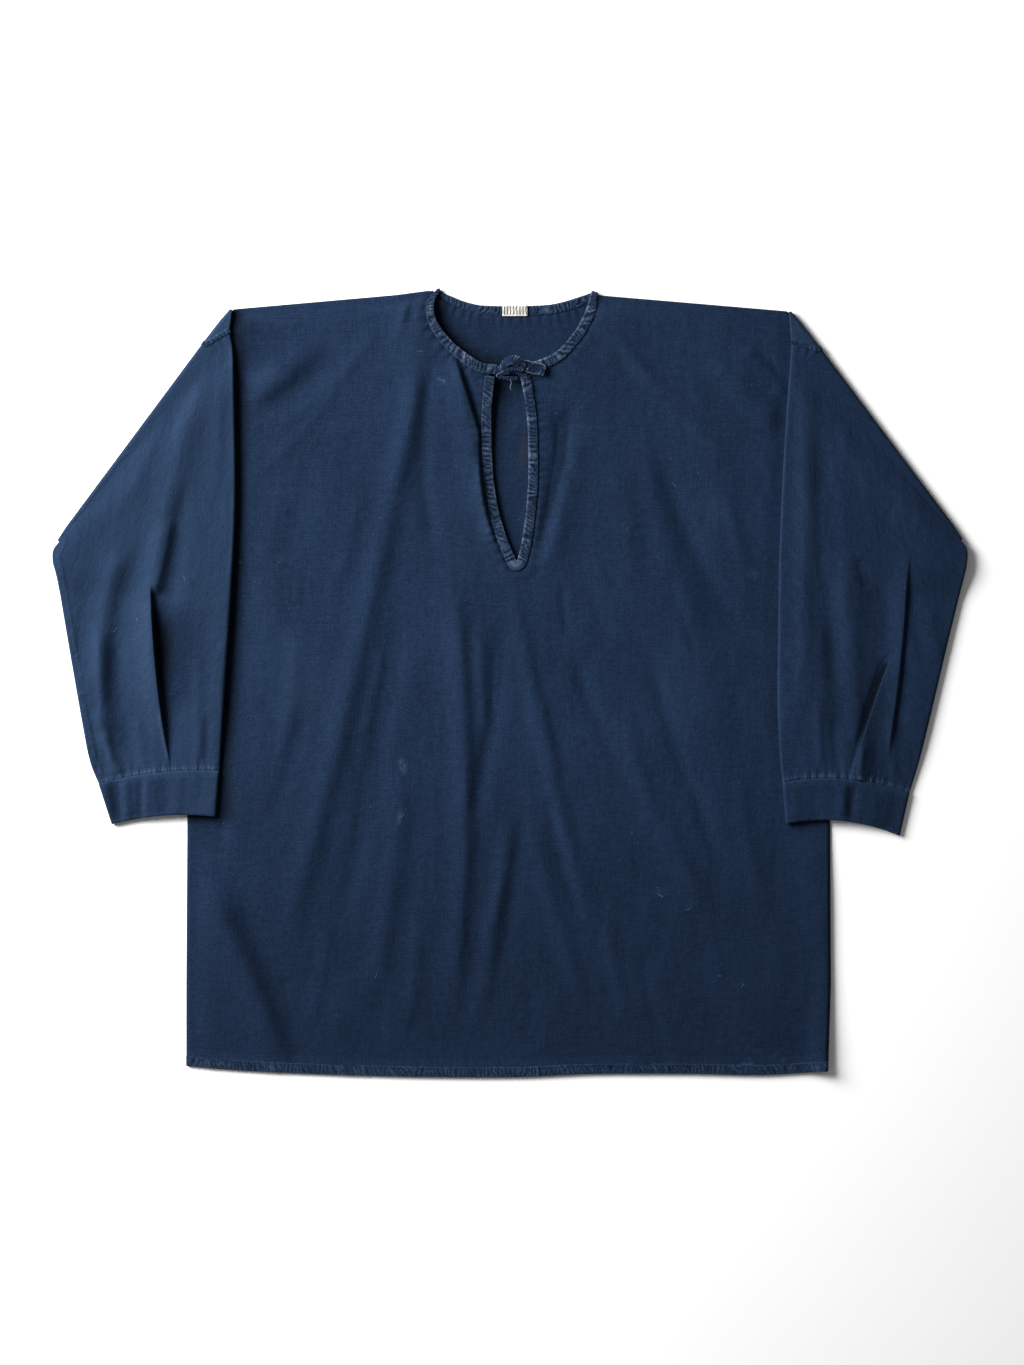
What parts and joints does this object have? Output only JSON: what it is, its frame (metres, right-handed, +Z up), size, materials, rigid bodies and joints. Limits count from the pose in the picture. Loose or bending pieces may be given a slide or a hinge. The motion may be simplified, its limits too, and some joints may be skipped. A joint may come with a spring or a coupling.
{
  "type": "smock",
  "caption": "Long-sleeved pull-on cotton smock with a round bound neck, front slit and tie, laid flat with its sleeves folded over the front.",
  "frame": {"origin": "middle of the garment's outline in plan, on the surface it lies on", "axes": "+X towards the garment's left sleeve as it is worn, which is on the right seen from above; +Y from the hem to the neck; +Z up from the surface, out of the front"},
  "size_m": [0.9136, 0.7888, 0.017],
  "materials": {
    "indigo_cloth": "washed plain-weave cotton, matt, faded along seams and folds",
    "cream_tape": "woven cotton tape, matt, bare of lettering"
  },
  "bodies": {
    "root": {"back_panel": "indigo_cloth", "front_panel": "indigo_cloth", "sleeve_left": "indigo_cloth", "sleeve_right": "indigo_cloth", "shoulder_corner_left": "indigo_cloth", "shoulder_corner_right": "indigo_cloth", "cuff_left": "indigo_cloth", "cuff_right": "indigo_cloth", "neck_band": "indigo_cloth", "slit_binding": "indigo_cloth", "tie_knot": "indigo_cloth", "tie_left": "indigo_cloth", "tie_right": "indigo_cloth", "tie_end_left": "indigo_cloth", "tie_end_right": "indigo_cloth", "neck_label": "cream_tape"}
  },
  "joints": []
}
